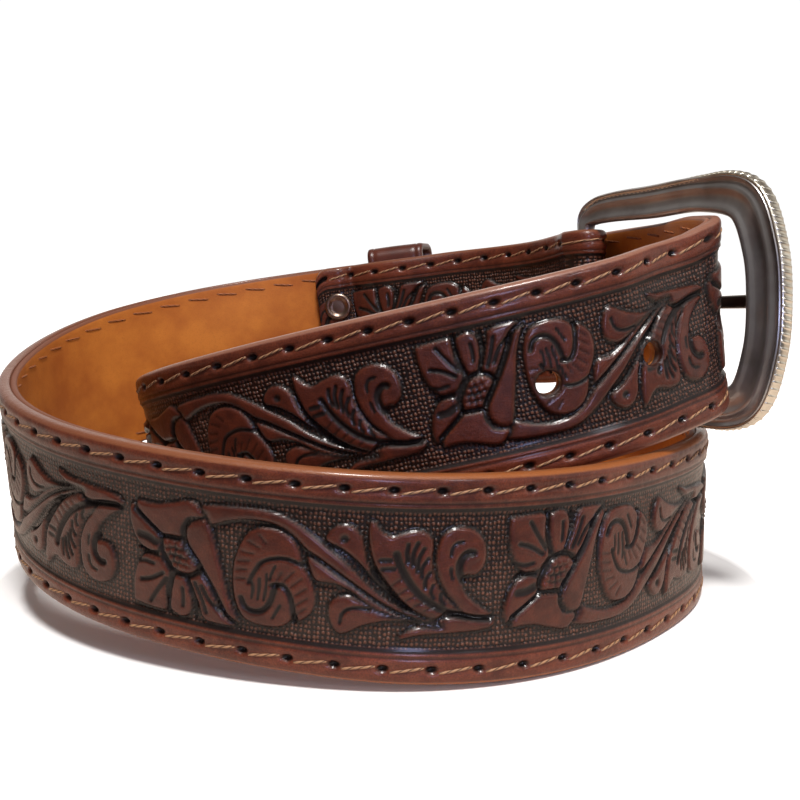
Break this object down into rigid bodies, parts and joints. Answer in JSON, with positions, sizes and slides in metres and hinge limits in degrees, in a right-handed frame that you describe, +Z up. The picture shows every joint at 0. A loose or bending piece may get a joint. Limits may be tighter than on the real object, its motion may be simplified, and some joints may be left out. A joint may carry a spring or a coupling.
{
  "type": "tooled leather belt with rope-edge buckle",
  "caption": "Floral-tooled leather belt, fastened and coiled in two turns on its edge, with a rope-edge metal buckle and a leather keeper.",
  "frame": {"origin": "on the surface that the coil stands on, under the middle of the whole object's box", "axes": "+Z up, across the strap's width; +Y away from the viewer of the picture; +X to the viewer's right, towards the buckle"},
  "size_m": [0.172, 0.1394, 0.0946],
  "materials": {
    "tooled_leather": "glossy, antiqued, deeply tooled",
    "lining_leather": "smooth satin",
    "keeper_leather": "glossy, worn edges",
    "buckle_metal": "polished with a dark antiqued wash",
    "prong_metal": "polished",
    "snap_metal": "polished, aged"
  },
  "bodies": {
    "root": {"strap": "tooled_leather", "lining": "lining_leather", "keeper": "keeper_leather", "buckle_frame": "buckle_metal", "prong": "prong_metal", "snap_upper": "snap_metal", "snap_lower": "snap_metal"}
  },
  "joints": []
}
